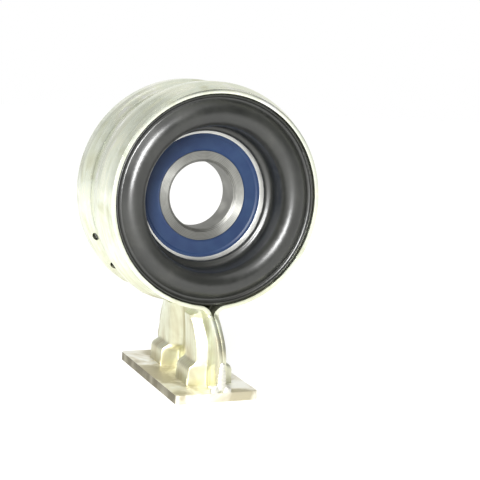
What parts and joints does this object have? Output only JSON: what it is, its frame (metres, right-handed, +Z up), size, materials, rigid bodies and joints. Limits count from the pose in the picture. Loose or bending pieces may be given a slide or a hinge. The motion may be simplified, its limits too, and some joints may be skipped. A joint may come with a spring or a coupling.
{
  "type": "driveshaft centre bearing",
  "caption": "Driveshaft centre support: a sealed ball bearing in a black rubber isolator, held by a ridged sheet strap whose ribbed legs stand on a flat foot plate.",
  "frame": {"origin": "centre of the bearing bore, half way along its width", "axes": "+Y along the shaft axis towards the open back of the rubber, +Z up from the foot to the top of the ring"},
  "size_m": [0.118, 0.0902, 0.1593],
  "materials": {
    "zinc_strap": "pressed sheet steel, zinc plated with a pale yellow passivate",
    "zinc_plate": "flat steel, zinc plated with a pale yellow passivate",
    "nut_steel": "zinc plated steel nut",
    "weld_metal": "plated weld metal, rippled",
    "black_rubber": "moulded black rubber, satin",
    "bearing_steel": "ground bearing steel",
    "cage_steel": "pressed sheet steel",
    "blue_seal": "moulded blue seal rubber, satin",
    "ball_steel": "polished bearing balls"
  },
  "bodies": {
    "housing": {"strap": "zinc_strap", "base_plate": "zinc_plate", "captive_nuts": "nut_steel", "weld_beads": "weld_metal", "rubber_isolator": "black_rubber", "outer_ring": "bearing_steel", "seal_front": "blue_seal", "seal_rear": "blue_seal"},
    "inner_ring_body": {"inner_ring": "bearing_steel"},
    "cage_body": {"cage_front": "cage_steel", "cage_rear": "cage_steel", "cage_rivets": "cage_steel"},
    "ball_1_body": {"ball_1": "ball_steel"},
    "ball_2_body": {"ball_2": "ball_steel"},
    "ball_3_body": {"ball_3": "ball_steel"},
    "ball_4_body": {"ball_4": "ball_steel"},
    "ball_5_body": {"ball_5": "ball_steel"},
    "ball_6_body": {"ball_6": "ball_steel"},
    "ball_7_body": {"ball_7": "ball_steel"},
    "ball_8_body": {"ball_8": "ball_steel"},
    "ball_9_body": {"ball_9": "ball_steel"}
  },
  "joints": [
    {"name": "inner_ring_spin", "type": "hinge", "parent": "housing", "child": "inner_ring_body", "pos_m": [0, 0, 0], "axis": [0, 1, 0], "continuous": true},
    {"name": "cage_spin", "type": "hinge", "parent": "housing", "child": "cage_body", "pos_m": [0, 0, 0], "axis": [0, 1, 0], "continuous": true},
    {"name": "ball_1_roll", "type": "hinge", "parent": "cage_body", "child": "ball_1_body", "pos_m": [0, 0, 0.02675], "axis": [0, 1, 0], "continuous": true},
    {"name": "ball_2_roll", "type": "hinge", "parent": "cage_body", "child": "ball_2_body", "pos_m": [0.01719, 0, 0.02049], "axis": [0, 1, 0], "continuous": true},
    {"name": "ball_3_roll", "type": "hinge", "parent": "cage_body", "child": "ball_3_body", "pos_m": [0.02634, 0, 0.00465], "axis": [0, 1, 0], "continuous": true},
    {"name": "ball_4_roll", "type": "hinge", "parent": "cage_body", "child": "ball_4_body", "pos_m": [0.02317, 0, -0.01337], "axis": [0, 1, 0], "continuous": true},
    {"name": "ball_5_roll", "type": "hinge", "parent": "cage_body", "child": "ball_5_body", "pos_m": [0.00915, 0, -0.02514], "axis": [0, 1, 0], "continuous": true},
    {"name": "ball_6_roll", "type": "hinge", "parent": "cage_body", "child": "ball_6_body", "pos_m": [-0.00915, 0, -0.02514], "axis": [0, 1, 0], "continuous": true},
    {"name": "ball_7_roll", "type": "hinge", "parent": "cage_body", "child": "ball_7_body", "pos_m": [-0.02317, 0, -0.01337], "axis": [0, 1, 0], "continuous": true},
    {"name": "ball_8_roll", "type": "hinge", "parent": "cage_body", "child": "ball_8_body", "pos_m": [-0.02634, 0, 0.00465], "axis": [0, 1, 0], "continuous": true},
    {"name": "ball_9_roll", "type": "hinge", "parent": "cage_body", "child": "ball_9_body", "pos_m": [-0.01719, 0, 0.02049], "axis": [0, 1, 0], "continuous": true}
  ],
  "couplings": [
    {"joint": "cage_spin", "follows": "inner_ring_spin", "ratio": 0.39626},
    {"joint": "ball_1_roll", "follows": "inner_ring_spin", "ratio": -2.3062},
    {"joint": "ball_2_roll", "follows": "inner_ring_spin", "ratio": -2.3062},
    {"joint": "ball_3_roll", "follows": "inner_ring_spin", "ratio": -2.3062},
    {"joint": "ball_4_roll", "follows": "inner_ring_spin", "ratio": -2.3062},
    {"joint": "ball_5_roll", "follows": "inner_ring_spin", "ratio": -2.3062},
    {"joint": "ball_6_roll", "follows": "inner_ring_spin", "ratio": -2.3062},
    {"joint": "ball_7_roll", "follows": "inner_ring_spin", "ratio": -2.3062},
    {"joint": "ball_8_roll", "follows": "inner_ring_spin", "ratio": -2.3062},
    {"joint": "ball_9_roll", "follows": "inner_ring_spin", "ratio": -2.3062}
  ]
}
